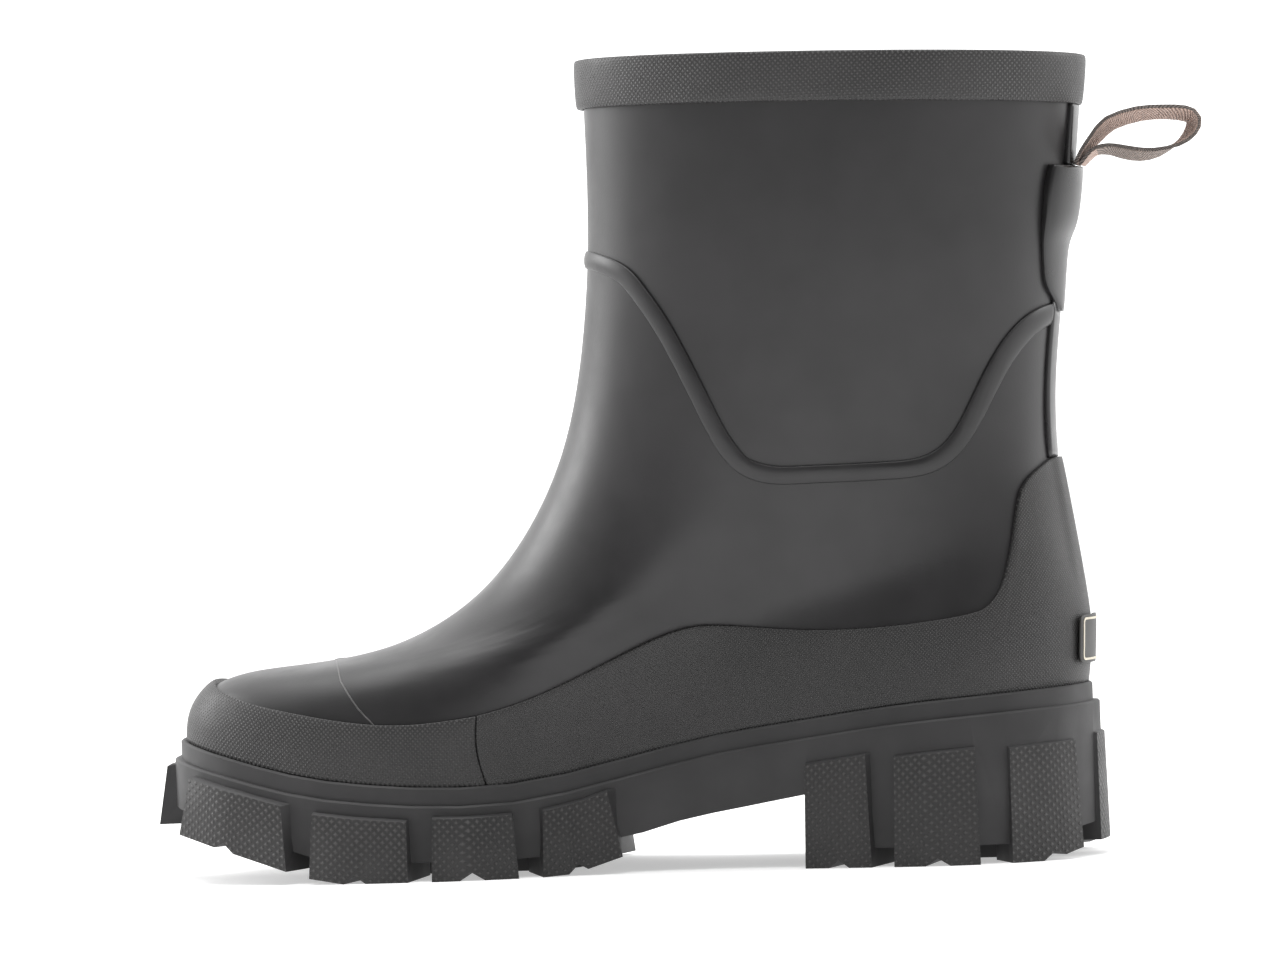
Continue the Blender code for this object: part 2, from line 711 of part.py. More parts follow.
def build_strips(surface, collection):
    """The flat strip up the back, which ends under the tab's lower edge and goes on above it."""
    def outer(height, column):
        return GAP + STRIP * (STRIP_EDGE if abs(column) == 1 else 1)

    def half_width(height):
        return STRIP_WIDTH / 2

    below = spread(rand_height(HEEL_BACK) + 2 * GAP, TAB_TOP - TAB_HEIGHT - 2 * GAP, STRIP_ROWS)
    above = spread(TAB_TOP + 2 * GAP, COLLAR_BACK - BAND_HEIGHT - GAP, STRIP_TOP_ROWS)
    lower = back_patch("back_strip", below, half_width, STRIP_COLUMNS, outer, GAP,
                       surface, collection, raised=tab_edge)
    upper = back_patch("back_strip_top", above, half_width, STRIP_COLUMNS, outer, GAP,
                       surface, collection)
    return lower, upper


def build_tab(surface, collection):
    """The thick patch that holds the loop: shield-shaped, with a thick upper half."""
    bottom = TAB_TOP - TAB_HEIGHT

    def row(height):
        return min(TAB_SHAPE, key=lambda tab: abs(bottom + TAB_HEIGHT * tab.up - height))

    def half_width(height):
        return TAB_WIDTH / 2 * row(height).half

    def outer(height, column):
        share = TAB_EDGE if abs(column) == 1 else 1 - TAB_CROWN * column ** 4
        return GAP + TAB * row(height).thick * share

    heights = [bottom + TAB_HEIGHT * tab.up for tab in TAB_SHAPE]
    return back_patch("loop_tab", heights, half_width, TAB_COLUMNS, outer, GAP, surface, collection)


def build_badge(surface, collection):
    """A small plate on the counter, with rounded corners."""
    bottom = rand_base(HEEL_BACK) + BADGE_LIFT

    def half_width(height):
        edge = min(height - bottom, bottom + BADGE_HEIGHT - height)
        short = max(0, BADGE_ROUND - edge)
        return BADGE_WIDTH / 2 - (BADGE_ROUND - math.sqrt(max(BADGE_ROUND ** 2 - short ** 2, 0)))

    def outer(height, column):
        return BADGE_SEAT + BADGE

    low = [bottom + BADGE_ROUND * step for step in BADGE_CORNER]
    high = [bottom + BADGE_HEIGHT - BADGE_ROUND * step for step in BADGE_CORNER[::-1]]
    return back_patch("heel_badge", low + high, half_width, BADGE_COLUMNS, outer, BADGE_SEAT,
                      surface, collection)


def build_loop(surface, collection):
    """The webbing loop, a flat strap that rolls as it runs out of the tab and back."""
    tab_level = level_at(math.pi, lambda x: TAB_TOP)
    start = upper_point(tab_level, math.pi, STRIP + 2 * GAP + LOOP_THICK / 2)
    steps = len(LOOP_RUN) * LOOP_PARTS - 1
    run = [Run(i, *row) for i, row in enumerate(LOOP_RUN)]
    centres, tilts = [], []
    for value in spread(0, len(LOOP_RUN) - 1, steps):
        out, up, tilt = (smooth(run, "index", value, column) for column in ("out", "up", "tilt"))
        centres.append(start + Vector((LOOP_REACH * out, 0, GAP + LOOP_RISE * up)))
        tilts.append(math.radians(tilt))
    sections = []
    for i, (centre, tilt) in enumerate(zip(centres, tilts)):
        tangent = centres[min(i + 1, steps - 1)] - centres[max(i - 1, 0)]
        tangent.normalize()
        flat = tangent.cross(Vector((0, 1, 0)))
        across = Vector((0, math.cos(tilt), 0)) + flat * math.sin(tilt)
        through = tangent.cross(across) * LOOP_THICK / 2
        across *= LOOP_WIDTH / 2
        sections.append([centre - across + through, centre + across + through,
                         centre + across - through, centre - across - through])
    return add_object("pull_loop", *sweep(sections, False), surface, collection)


def lug_section(angle, lug, lift, lean):
    """A section of a tread block across the sole's edge, with its top ends leaning in."""
    foot = outline(angle, 0)
    ground = tread_lift(foot.x)
    top = sole_line(foot.x) - SOLE_TOP * lug.drop
    base = underside(foot.x) + EDGE
    shift = outline_run(angle).normalized() * lean
    root = WALL_OUT - 2 * EDGE
    inmost = -LUG_DEPTH * lug.depth
    rows = [(inmost, ground + lift, 0), (LUG_OUT * lug.floor_out, ground + lift, 0),
            (LUG_OUT * lug.top_out, top - EDGE, 1), (LUG_OUT * lug.top_out - 2 * EDGE, top, 1),
            (root, top, 0), (root, base, 0), (inmost, base, 0)]
    section = []
    for out, z, leans in rows:
        point = outline(angle, out) + shift * leans
        section.append(Vector((point.x, point.y, z)))
    return section


def lug_angles(first, last, groove):
    """Angles through a block, with three for its groove, and which of them is the groove's."""
    run = outline_run((first + last) / 2).length
    half = GROOVE_HALF / run * (1 if last > first else -1)
    middle = first + (last - first) * groove
    return [first, middle - half, middle, middle + half, last], 2


def add_block(work, sections):
    """Add a closed block through sections to a mesh being built."""
    count = len(sections[0])
    verts = [[work.verts.new(point) for point in section] for section in sections]
    for one, two in zip(verts, verts[1:]):
        for i in range(count):
            j = (i + 1) % count
            work.faces.new((one[i], one[j], two[j], two[i]))
    for end in (verts[0], verts[-1]):
        work.faces.new(end)


def add_side_lug(work, side, lug):
    """Add one of the blocks along a side, whose two ends lean in by their own amounts."""
    start = max(lug.start, OUTER_WAIST) if side > 0 and lug == WAIST_LUG else lug.start
    first, last = side_angle(side, lug.end), side_angle(side, start)
    angles, groove = lug_angles(first, last, 1 - lug.groove)
    reach = LUG_OUT * (lug.end - start) / (lug.end - lug.start)
    leans = [reach * lug.lean_end, 0, 0, 0, -reach * lug.lean_start]
    onwards = 1 if last > first else -1
    lifts = [LUG_GROOVE if i == groove else 0 for i in range(len(angles))]
    add_block(work, [lug_section(angle, lug, lift, lean * onwards)
                     for angle, lift, lean in zip(angles, lifts, leans)])


def add_end_lug(work, middle, lug):
    """Add the block at the toe or at the back."""
    reach = END_LUG_HALF / outline_run(middle).length
    angles = spread(middle - reach, middle + reach, END_LUG_SECTIONS)
    leans = [0] * END_LUG_SECTIONS
    leans[0], leans[-1] = END_LUG_LEAN, -END_LUG_LEAN
    add_block(work, [lug_section(angle, lug, 0, lean) for angle, lean in zip(angles, leans)])


def build_lugs(collection):
    """All tread blocks in one guide mesh: side blocks, those at the two ends, and centre ones."""
    work = bmesh.new()
    for lug in SIDE_LUGS:
        add_side_lug(work, -1, lug)
        add_side_lug(work, 1, lug)
    add_end_lug(work, 0, TOE_LUG)
    add_end_lug(work, math.pi, BACK_LUG)
    for lug in CENTRE_LUGS:
        sections = []
        for along in spread(lug.start, lug.end, CENTRE_LUG_SECTIONS):
            x = HEEL_BACK - FOOT_LENGTH * along
            y = foot_centre(along)
            half = BALL_WIDTH * lug.half
            low, high = tread_lift(x), underside(x) + EDGE
            sections.append([Vector((x, y - half, low)), Vector((x, y + half, low)),
                             Vector((x, y + half, high)), Vector((x, y - half, high))])
        add_block(work, sections)
    bmesh.ops.recalc_face_normals(work, faces=work.faces)
    bmesh.ops.triangulate(work, faces=work.faces)
    mesh = bpy.data.meshes.new("lug_blocks")
    work.to_mesh(mesh)
    work.free()
    made = bpy.data.objects.new("lug_blocks", mesh)
    collection.objects.link(made)
    return made


def build_arch(collection):
    """The space under the waist, from the front of the heel to the forefoot."""
    half = BALL_WIDTH
    rows = [(along, SOLE_TOP * smooth(ARCH_LINE, "along", along, "height"))
            for along in spread(ARCH_LINE[0].along, ARCH_LINE[-1].along, ARCH_SECTIONS)]
    floor = -TREAD
    profile = [(rows[0][0], floor)] + rows + [(rows[-1][0], floor)]
    points, numbers = [], []
    for side in (-1, 1):
        start = len(points)
        points += [Vector((HEEL_BACK - FOOT_LENGTH * along, side * half, z)) for along, z in profile]
        numbers.append(list(range(start, len(points))))
    left, right = numbers
    faces = ladder(left + left[:1], right + right[:1]) + [tuple(left), tuple(right)]
    return add_object("arch_space", points, faces, finish("guide"), collection)


def build_outsole(surface, collection, guides):
    """The moulded sole: welt, side wall, arch, raised toe, heel and tread blocks."""
    angles = [2 * math.pi * i / SOLE_SIDES for i in range(SOLE_SIDES)]
    rings = []
    for out, drop in ((WELT_OUT - EDGE, 0), (WELT_OUT, EDGE), (WELT_OUT, WELT_HEIGHT),
                      (WALL_OUT - EDGE, WELT_HEIGHT), (WALL_OUT, WELT_HEIGHT + EDGE)):
        ring = []
        for angle in angles:
            point = outline(angle, out)
            ring.append(Vector((point.x, point.y, sole_line(outline(angle, 0).x) - drop)))
        rings.append(ring)
    bottom = []
    for angle in angles:
        point = outline(angle, WALL_OUT)
        bottom.append(Vector((point.x, point.y, tread_lift(outline(angle, 0).x) + TREAD)))
    rings.append(bottom)
    sole = add_object("outsole", *stack(rings), surface, collection)
    for name, guide, operation in (("arch", build_arch(guides), "DIFFERENCE"),
                                   ("lugs", build_lugs(guides), "UNION")):
        cut = sole.modifiers.new(name, "BOOLEAN")
        cut.operation = operation
        cut.object = guide
        guide.hide_render = True
        guide.display_type = "WIRE"
    return sole


def build():
    """Clear the scene and build the boot."""
    for old in list(bpy.data.objects):
        bpy.data.objects.remove(old, do_unlink=True)
    boot = bpy.data.collections.new("rubber_boot")
    guides = bpy.data.collections.new("guides")
    for collection in (boot, guides):
        bpy.context.scene.collection.children.link(collection)
    build_outsole(finish("sole_rubber"), boot, guides)
    build_insole(finish("foot_bed"), boot)
    build_upper(finish("upper_rubber"), boot)
    build_rands(finish("rand_rubber"), boot)
    build_tape(finish("tape_rubber"), boot)
    build_band(finish("band_rubber"), boot)
    build_strips(finish("strip_rubber"), boot)
    build_tab(finish("tab_rubber"), boot)
    build_loop(finish("webbing"), boot)
    build_badge(finish("badge_rubber"), boot)


build()
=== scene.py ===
# %% [markdown]
# # A rubber boot, dressed for its photograph
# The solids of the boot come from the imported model, so nothing here changes its size. Each step takes
# one of the boot's own pieces, makes it smooth where moulded rubber is smooth, and gives it the finish
# that the real piece has. Lengths are in metres, the toe points along -X and the floor is at zero.

# %% Load the boot
import math
import bpy
from mathutils import Matrix, Vector


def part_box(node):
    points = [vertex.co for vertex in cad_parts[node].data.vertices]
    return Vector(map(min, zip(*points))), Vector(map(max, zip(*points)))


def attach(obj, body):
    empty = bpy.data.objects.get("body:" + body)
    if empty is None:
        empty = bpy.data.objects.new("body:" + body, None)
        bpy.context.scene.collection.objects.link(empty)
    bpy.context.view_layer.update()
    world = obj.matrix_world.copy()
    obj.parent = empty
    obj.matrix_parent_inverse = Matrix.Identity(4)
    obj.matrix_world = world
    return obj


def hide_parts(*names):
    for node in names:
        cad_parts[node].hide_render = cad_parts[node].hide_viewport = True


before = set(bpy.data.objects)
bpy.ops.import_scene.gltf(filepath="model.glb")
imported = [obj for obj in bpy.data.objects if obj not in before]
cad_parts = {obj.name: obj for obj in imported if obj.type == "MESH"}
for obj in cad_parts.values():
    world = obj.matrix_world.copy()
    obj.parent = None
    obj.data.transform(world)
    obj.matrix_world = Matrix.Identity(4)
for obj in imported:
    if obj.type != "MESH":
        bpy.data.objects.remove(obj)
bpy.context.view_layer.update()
MM = 0.001


# %% [markdown]
# The photograph was taken from far away with a long lens, a little above the ankle, and the boot
# is tipped by about two degrees in the picture. A camera can be placed by eye, but here its place and
# lens are known from the boot's own measures, so they are written down as numbers.

# %% Camera
PICTURE_WIDTH = 1280
FOCAL_PIXELS = 6700
SENSOR = 36
VIEW_FROM = Vector((0.2949, -1.9754, 0.130))
VIEW_ALONG = Vector((-0.1936, 0.9818, -0.0072))
VIEW_REACH = 50
ROLL = math.radians(-2.2)

bpy.ops.object.camera_add(location=VIEW_FROM)
camera = bpy.context.object
camera.name = "camera"
camera.rotation_mode = "QUATERNION"
aim = VIEW_ALONG.normalized().to_track_quat("-Z", "Y")
camera.rotation_quaternion = aim @ Matrix.Rotation(ROLL, 4, "Z").to_quaternion()
camera.data.sensor_width = SENSOR
camera.data.lens = FOCAL_PIXELS / PICTURE_WIDTH * SENSOR
camera.data.clip_end = VIEW_REACH
bpy.context.scene.camera = camera
print("The camera's lens is", round(camera.data.lens, 1), "mm long")


# %% [markdown]
# A studio table is a pale sheet without a visible edge, lit a little from below so that shadows on it
# stay light. One large plane with a faint glow of its own does that, and it reaches so far behind the
# boot that it ends in the white of the background.

# %% Floor
FLOOR_SIZE = 60
WHITE = (1, 1, 1, 1)
PAPER = {"Base Color": (0.7, 0.7, 0.7, 1), "Roughness": 0.9, "Specular IOR Level": 0.1,
         "Emission Color": WHITE, "Emission Strength": 0.45}
bpy.ops.mesh.primitive_plane_add(size=FLOOR_SIZE, location=(0, 0, 0))
floor = bpy.context.object
floor.name = "studio_floor"
floor_paint = bpy.data.materials.new("studio_paper")
floor_paint.use_nodes = True
for label, value in PAPER.items():
    floor_paint.node_tree.nodes["Principled BSDF"].inputs[label].default_value = value
floor.data.materials.append(floor_paint)
print("The floor is", FLOOR_SIZE, "metres wide")


# %% [markdown]
# The light in the photograph is a white tent: bright from above and behind, weaker from the camera's
# side, so the rubber's edges shine and its near side stays dark. A picture of a real studio could be
# wrapped round the scene, but a sky whose strength grows from the camera's side to the far side needs
# no picture.

# %% White tent
SKY_FADE = {"From Min": -1, "From Max": 0.4, "To Min": 0.12, "To Max": 1.7}
bpy.context.scene.view_settings.view_transform = "Standard"
sky = bpy.data.worlds.new("white_tent")
sky.use_nodes = True
sky_tree = sky.node_tree
direction = sky_tree.nodes.new("ShaderNodeTexCoord")
parts = sky_tree.nodes.new("ShaderNodeSeparateXYZ")
strength = sky_tree.nodes.new("ShaderNodeMapRange")
for label, value in SKY_FADE.items():
    strength.inputs[label].default_value = value
backdrop = sky_tree.nodes["Background"]
sky_tree.links.new(direction.outputs["Generated"], parts.inputs[0])
sky_tree.links.new(parts.outputs["Y"], strength.inputs["Value"])
sky_tree.links.new(strength.outputs[0], backdrop.inputs["Strength"])
backdrop.inputs["Color"].default_value = WHITE
bpy.context.scene.world = sky
print("The sky's strength runs from", SKY_FADE["To Min"], "to", SKY_FADE["To Max"])


# %% [markdown]
# One wide lamp overhead makes the soft shadow, and two smaller ones, before the toe and behind the
# heel, put the long highlights on the instep and the back. All of them face the boot's middle.

# %% Lamps
MIDDLE = Vector((-0.1, 0, 0.12))
LAMPS = (("overhead", (-0.25, 0.0, 1.8), 1.5, 26),
         ("front_left", (-1.7, 0.35, 0.8), 0.9, 14),
         ("back_right", (1.5, 0.6, 0.8), 0.7, 7))
for name, place, width, power in LAMPS:
    bpy.ops.object.light_add(type="AREA", location=place)
    lamp = bpy.context.object
    lamp.name = name
    lamp.data.shape = "SQUARE"
    lamp.data.size = width
    lamp.data.energy = power
    lamp.rotation_mode = "QUATERNION"
    lamp.rotation_quaternion = (MIDDLE - Vector(place)).to_track_quat("-Z", "Y")
    print("Lamp", name, "is", width, "m wide, at", power, "W")


# %% [markdown]
# Blender's tools act on whatever is selected, so each step starts from a clean selection. These small
# helpers select only the piece that they are given, and enter and leave its edit mode.

# %% A clean selection
def only(*chosen):
    """Deselect everything, then select these pieces."""
    bpy.ops.object.select_all(action="DESELECT")
    for piece in chosen:
        piece.select_set(True)
    bpy.context.view_layer.objects.active = chosen[0]


def edit(piece, mode="FACE"):
    """Enter edit mode on one piece with nothing selected."""
    only(piece)
    bpy.ops.object.mode_set(mode="EDIT")
    bpy.ops.mesh.select_mode(type=mode)
    bpy.ops.mesh.select_all(action="DESELECT")


def done():
    """Leave edit mode."""
    bpy.ops.object.mode_set(mode="OBJECT")


# %% [markdown]
# The solids are made of flat triangles, and moulded rubber isn't. A copy of each piece is cleaned as a
# modeller would clean a scan: loose corners are merged and pairs of triangles become squares.

# %% Clean copies
JOIN_WITHIN = 0.005 * MM
FLAT_PAIR = math.radians(60)


def clean_copy(solid, name, squares=True):
    """A merged copy of a solid, which stands for it in the picture."""
    piece = bpy.data.objects.new(name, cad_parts[solid].data.copy())
    bpy.context.scene.collection.objects.link(piece)
    piece.data.materials.clear()
    only(piece)
    bpy.ops.mesh.customdata_custom_splitnormals_clear()
    edit(piece)
    bpy.ops.mesh.select_all(action="SELECT")
    bpy.ops.mesh.remove_doubles(threshold=JOIN_WITHIN)
    if squares:
        bpy.ops.mesh.tris_convert_to_quads(face_threshold=FLAT_PAIR, shape_threshold=FLAT_PAIR)
    done()
    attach(piece, "root")
    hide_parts(solid)
    return piece


# %% [markdown]
# A Subdivision Surface rounds such a copy. Edges that must stay crisp, such as the rim of a bonded
# strip, are creased first, so they keep their place and only their corners soften.

# %% Crease and round
def crease(piece, angle, amount):
    """Crease the edges that are sharper than an angle."""
    edit(piece, "EDGE")
    bpy.ops.mesh.edges_select_sharp(sharpness=math.radians(angle))
    bpy.ops.transform.edge_crease(value=amount)
    done()


def rounded(piece, levels):
    """Subdivide a piece and shade it smooth."""
    only(piece)
    bpy.ops.object.shade_smooth()
    rounding = piece.modifiers.new("rounding", "SUBSURF")
    rounding.levels = levels
    rounding.render_levels = levels
    bpy.ops.object.modifier_apply(modifier=rounding.name)
    print(piece.name, "has", len(piece.data.polygons), "faces")


# %% [markdown]
# Some faces of a piece get a second finish, such as the lining inside the upper. They are found by
# place: one face is picked near a point, and the selection spreads from it as far as the surface runs
# on without a sharp edge.

# %% Pick a surface
FACING = 0.5
OUT_OF_REACH = 10


def pick_surface(piece, place, facing, spread):
    """Enter edit mode with one smooth stretch of surface selected."""
    def far(face):
        turned = face.normal.dot(facing)
        return (face.center - place).length if turned > FACING else OUT_OF_REACH

    seed = min(piece.data.polygons, key=far).index
    edit(piece)
    done()
    piece.data.polygons[seed].select = True
    bpy.ops.object.mode_set(mode="EDIT")
    bpy.ops.mesh.faces_select_linked_flat(sharpness=math.radians(spread))


def second_finish(piece, index):
    """Give the selected faces another of the piece's materials."""
    piece.active_material_index = index
    bpy.ops.object.material_slot_assign()


# %% [markdown]
# Materials are trees of nodes. A few helpers keep the steps that build them short: one makes a shared
# group with its sockets, one adds a node, one feeds its inputs, and one does a step of arithmetic.

# %% Node helpers
NUMBER, PLACE = "NodeSocketFloat", "NodeSocketVector"


def new_group(name, takes, gives):
    """A shader node group with its sockets, and its two end nodes."""
    group = bpy.data.node_groups.new(name, "ShaderNodeTree")
    for label, kind, value in takes:
        socket = group.interface.new_socket(label, in_out="INPUT", socket_type=kind)
        if value is not None:
            socket.default_value = value
    for label, kind in gives:
        group.interface.new_socket(label, in_out="OUTPUT", socket_type=kind)
    return group, group.nodes.new("NodeGroupInput"), group.nodes.new("NodeGroupOutput")


def node(tree, kind, **settings):
    """Add a node and set its plain properties."""
    made = tree.nodes.new(kind)
    for key, value in settings.items():
        setattr(made, key, value)
    return made


def feed(tree, target, **sources):
    """Set a node's inputs from values or outputs. Underscores stand for spaces, i0 for the first."""
    for key, source in sources.items():
        numbered = key[1:].isdigit()
        socket = target.inputs[int(key[1:]) if numbered else key.replace("_", " ")]
        if isinstance(source, bpy.types.NodeSocket):
            tree.links.new(source, socket)
        else:
            socket.default_value = source
    return target


def maths(tree, operation, first, second=0.0):
    """One step of arithmetic, as an output."""
    made = node(tree, "ShaderNodeMath", operation=operation)
    return feed(tree, made, i0=first, i1=second).outputs[0]


# %% [markdown]
# Moulded rubber is never one flat tone. Broad, faint patches of dust and polish change its colour and
# its gloss, and a very fine grain left by the mould breaks up its highlights. Two small node groups
# give those values, so every rubber on the boot can share them and set its own amounts.

# %% Patches and grain
PATCH_EDGES = {"From_Min": 0.35, "From_Max": 0.65}


def build_patches():
    """A group that drifts between two values over broad, soft patches."""
    group, takes, gives = new_group(
        "soft_patches", [("Place", PLACE, None), ("Scale", NUMBER, 25.0),
                         ("Low", NUMBER, 0.0), ("High", NUMBER, 1.0)], [("Value", NUMBER)])
    noise = node(group, "ShaderNodeTexNoise")
    feed(group, noise, Vector=takes.outputs["Place"], Scale=takes.outputs["Scale"], Detail=3.0,
         Roughness=0.6)
    spread = node(group, "ShaderNodeMapRange")
    feed(group, spread, Value=noise.outputs[0], To_Min=takes.outputs["Low"],
         To_Max=takes.outputs["High"], **PATCH_EDGES)
    feed(group, gives, Value=spread.outputs[0])
    return group


def build_grain():
    """A group that gives the height of a fine pebbled grain."""
    group, takes, gives = new_group(
        "fine_grain", [("Place", PLACE, None), ("Scale", NUMBER, 1400.0)], [("Height", NUMBER)])
    noise = node(group, "ShaderNodeTexNoise")
    feed(group, noise, Vector=takes.outputs["Place"], Scale=takes.outputs["Scale"], Detail=2.0)
    feed(group, gives, Height=noise.outputs[0])
    return group


patches = build_patches()
grain = build_grain()
print("Shared groups:", patches.name, "and", grain.name)


# %% [markdown]
# The rands, the collar band and the tread blocks carry a moulded pattern of tiny diamonds in offset
# rows. It is drawn from lengths along and up each strip, kept in its UV map in metres, so it bends
# with the strip and stays the same size everywhere. The group gives the diamonds' height.

# %% Diamond emboss
DIAMOND_FROM = 0.35
DIAMOND_STEEP = 2.2


def build_diamonds():
    """A group that gives the height of a lattice of raised diamonds."""
    group, takes, gives = new_group(
        "diamond_emboss", [("Along", NUMBER, 0.0), ("Up", NUMBER, 0.0), ("Pitch", NUMBER, 0.0015),
                           ("Row", NUMBER, 0.00075)], [("Height", NUMBER)])
    across = maths(group, "DIVIDE", takes.outputs["Along"], takes.outputs["Pitch"])
    two_rows = maths(group, "MULTIPLY", takes.outputs["Row"], 2.0)
    rows = maths(group, "DIVIDE", takes.outputs["Up"], two_rows)
    sides = []
    for operation in ("ADD", "SUBTRACT"):
        part = maths(group, "FRACT", maths(group, operation, across, rows))
        sides.append(maths(group, "ABSOLUTE", maths(group, "SUBTRACT", part, 0.5)))
    widest = maths(group, "MAXIMUM", *sides)
    height = maths(group, "SUBTRACT", 1.0, maths(group, "MULTIPLY", widest, 2.0))
    above = maths(group, "SUBTRACT", height, DIAMOND_FROM)
    crest = maths(group, "MULTIPLY", above, DIAMOND_STEEP)
    feed(group, gives, Height=maths(group, "MINIMUM", maths(group, "MAXIMUM", crest, 0.0), 1.0))
    return group


diamonds = build_diamonds()
print("The pattern group is", diamonds.name)


# %% [markdown]
# Every finish starts from the same few steps: a new material that reads the object's own coordinates,
# a shared group placed in it, a colour between two tones, and a bump.

# %% Steps of a finish
COLOR_OUT = 2


def new_finish(name):
    """A material and its tree, with the object's own coordinates."""
    made = bpy.data.materials.new(name)
    made.use_nodes = True
    tree = made.node_tree
    place = node(tree, "ShaderNodeTexCoord").outputs["Object"]
    return made, tree, tree.nodes["Principled BSDF"], place


def use(tree, group, **sources):
    """Add a shared group and feed it."""
    made = node(tree, "ShaderNodeGroup", node_tree=group)
    return feed(tree, made, **sources).outputs[0]


def tone(tree, factor, low, high):
    """A colour between two, by a factor. Each end is a plain colour or an output."""
    ends = [end if isinstance(end, bpy.types.NodeSocket) else (*end, 1) for end in (low, high)]
    mix = node(tree, "ShaderNodeMix", data_type="RGBA")
    return feed(tree, mix, i0=factor, i6=ends[0], i7=ends[1]).outputs[COLOR_OUT]


def coat(tree, shader, color, height, depth, **settings):
    """Give a shader its colour, its bump and its plain values."""
    bump = node(tree, "ShaderNodeBump")
    feed(tree, bump, Height=height, Distance=depth)
    feed(tree, shader, Base_Color=color, Normal=bump.outputs[0], **settings)


# %% [markdown]
# Every rubber is built the same way: a dark tone that drifts between two values, a roughness that
# drifts with it, and a bump. Plain rubber has only the mould's grain. Embossed rubber has the diamonds
# too, whose raised tops are painted paler as a painted highlight.

# %% Rubber
TONE_SCALE = 22.0
GLOSS_SCALE = 60.0
GRAIN_STRENGTH = 0.6
# Painted highlight: how many times paler the raised diamond tops are painted.
DIAMOND_TOP_HIGHLIGHT = 2.8


def rubber(name, low, high, gloss, grain_depth, pitch=0.0, row=0.0, relief=0.0):
    """Dark moulded rubber. gloss: its two roughnesses. pitch, row and relief: of its diamonds."""
    made, tree, shader, place = new_finish(name)
    color = tone(tree, use(tree, patches, Place=place, Scale=TONE_SCALE), low, high)
    shine = use(tree, patches, Place=place, Scale=GLOSS_SCALE, Low=gloss[0], High=gloss[1])
    fine = use(tree, grain, Place=place)
    bump = node(tree, "ShaderNodeBump")
    feed(tree, bump, Height=fine, Distance=grain_depth, Strength=GRAIN_STRENGTH)
    if pitch:
        split = node(tree, "ShaderNodeSeparateXYZ")
        feed(tree, split, Vector=node(tree, "ShaderNodeUVMap", uv_map="strip").outputs[0])
        height = use(tree, diamonds, Along=split.outputs[0], Up=split.outputs[1], Pitch=pitch,
                     Row=row)
        raised = node(tree, "ShaderNodeBump")
        feed(tree, raised, Height=height, Distance=relief, Normal=bump.outputs[0])
        bump = raised
        # The raised diamond tops are painted paler: a painted highlight on each diamond.
        color = tone(tree, height, color, [part * DIAMOND_TOP_HIGHLIGHT for part in high])
    feed(tree, shader, Base_Color=color, Roughness=shine, Normal=bump.outputs[0])
    return made


# %% [markdown]
# The shaft, the vamp and the seam tape are satin, the back strips and the tab a little glossier, and
# the sole is matt. The plain rubbers differ only in tone, gloss and grain, so each is one call.

# %% Plain rubbers
satin = rubber("satin_rubber", (0.0095, 0.009, 0.0095), (0.017, 0.016, 0.017),
               gloss=(0.35, 0.43), grain_depth=0.03 * MM)
strip_satin = rubber("strip_rubber", (0.012, 0.0115, 0.012), (0.02, 0.019, 0.02),
                     gloss=(0.27, 0.34), grain_depth=0.02 * MM)
matt = rubber("matt_sole_rubber", (0.019, 0.0185, 0.019), (0.03, 0.029, 0.03),
              gloss=(0.55, 0.66), grain_depth=0.04 * MM)
print("Plain rubbers:", satin.name, strip_satin.name, matt.name)


# %% [markdown]
# The diamonds are coarsest on the tread blocks and finest on the heel's rand. Their pitch is used
# again when each piece gets its map, so that a whole number of diamonds fits round the boot.

# %% Embossed rubbers
TOE_PITCH = 1.5 * MM
HEEL_PITCH = 1.12 * MM
LUG_PITCH = 2.5 * MM
BAND_PITCH = 1.6 * MM
RAND_TONES = (0.016, 0.016, 0.016), (0.024, 0.023, 0.023)

toe_finish = rubber("toe_rand_emboss", *RAND_TONES, gloss=(0.45, 0.55), grain_depth=0.02 * MM,
                    pitch=TOE_PITCH, row=0.75 * MM, relief=0.3 * MM)
heel_finish = rubber("heel_rand_emboss", *RAND_TONES, gloss=(0.45, 0.55), grain_depth=0.02 * MM,
                     pitch=HEEL_PITCH, row=0.57 * MM, relief=0.24 * MM)
lug_finish = rubber("tread_emboss", (0.014, 0.014, 0.014), (0.022, 0.021, 0.021),
                    gloss=(0.5, 0.6), grain_depth=0.03 * MM,
                    pitch=LUG_PITCH, row=1.26 * MM, relief=0.45 * MM)
band_finish = rubber("collar_emboss", (0.018, 0.0175, 0.0175), (0.027, 0.026, 0.026),
                     gloss=(0.42, 0.52), grain_depth=0.02 * MM,
                     pitch=BAND_PITCH, row=0.8 * MM, relief=0.32 * MM)
print("Embossed:", toe_finish.name, heel_finish.name, lug_finish.name, band_finish.name)


# %% [markdown]
# The sole's top face ends in a rim that runs round the whole boot. Lengths along that rim are what the
# patterns on the rands and the tread blocks need, so its corners are collected in order round the foot.

# %% The sole
MID_FOOT = Vector((-0.1, -0.003, 0.035))
TOP_SPREAD = 12
sole = clean_copy("outsole", "sole_moulding", squares=False)
sole.data.materials.append(matt)
sole.data.materials.append(lug_finish)
pick_surface(sole, MID_FOOT, Vector((0, 0, 1)), TOP_SPREAD)
bpy.ops.mesh.region_to_loop()
done()


def round_about(points, centre):
    """Points in order round a centre, each with the length walked up to it."""
    ordered = sorted(points, key=lambda p: math.atan2(p.y - centre.y, p.x - centre.x))
    walked, total = [], 0
    for here, ahead in zip(ordered, ordered[1:] + ordered[:1]):
        step = (ahead.xy - here.xy).length
        walked.append((here, ahead, total, step))
        total += step
    return walked, total


rim, rim_length = round_about([v.co.copy() for v in sole.data.vertices if v.select], MID_FOOT)
print("The rim has", len(rim), "corners and is", round(rim_length, 3), "m round")


# %% [markdown]
# A pattern can be laid on a strip by hand in the UV editor. Here the map is measured instead: each
# corner of a piece gets its length along the rim and its height above it, so a diamond has the same
# size all the way round.

